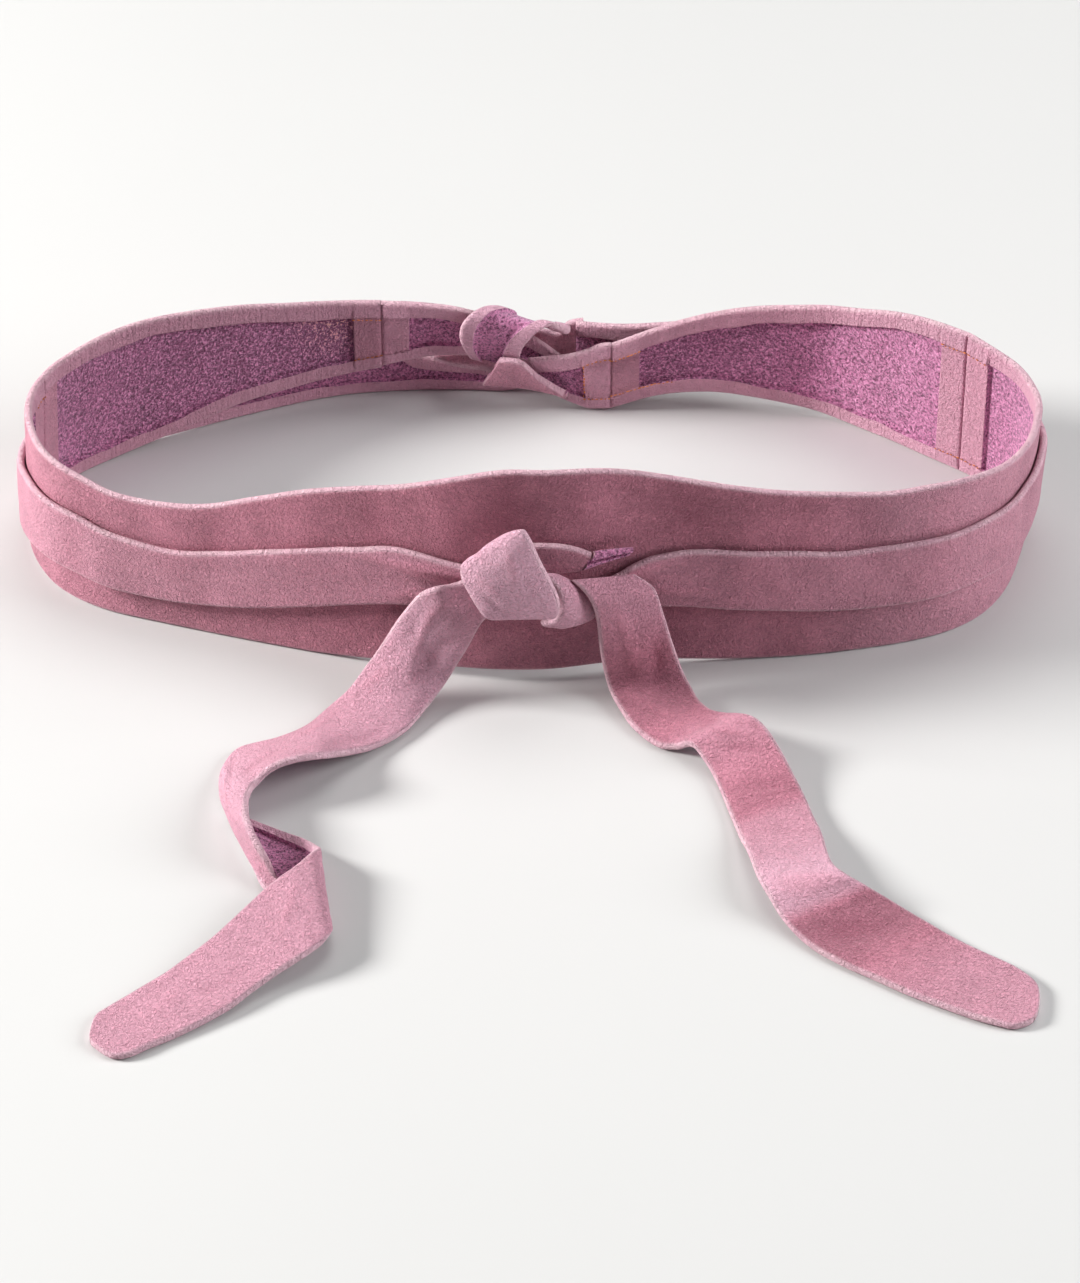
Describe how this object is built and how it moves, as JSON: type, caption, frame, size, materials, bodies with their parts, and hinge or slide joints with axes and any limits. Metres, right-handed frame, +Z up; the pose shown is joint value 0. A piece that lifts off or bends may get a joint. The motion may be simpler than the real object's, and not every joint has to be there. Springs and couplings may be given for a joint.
{
  "type": "wrap belt",
  "caption": "Leather wrap belt with a wide shaped front panel, tapering wings and long ties wound round it once more and knotted in front, standing on its edge.",
  "frame": {"origin": "middle of the belt's footprint, tails included, on the surface it stands on", "axes": "+Z up, -Y the way the wide front panel and its knot face, +X to the right as one looks at the front"},
  "size_m": [0.3166, 0.3165, 0.0782],
  "materials": {
    "nubuck": "soft matt nubuck, with a coarse suede inside"
  },
  "bodies": {
    "root": {"centre_panel": "nubuck", "right_wing": "nubuck", "left_wing": "nubuck", "right_band": "nubuck", "left_band": "nubuck", "left_tie_start": "nubuck", "left_tie_turn": "nubuck", "right_tie_start": "nubuck", "right_tie_flap": "nubuck", "right_tie_wrap": "nubuck", "right_tie_turn": "nubuck", "knot_face": "nubuck", "knot_loop": "nubuck", "knot_under": "nubuck", "knot_fold": "nubuck", "left_tail": "nubuck", "left_tail_end": "nubuck", "right_tail": "nubuck"}
  },
  "joints": []
}
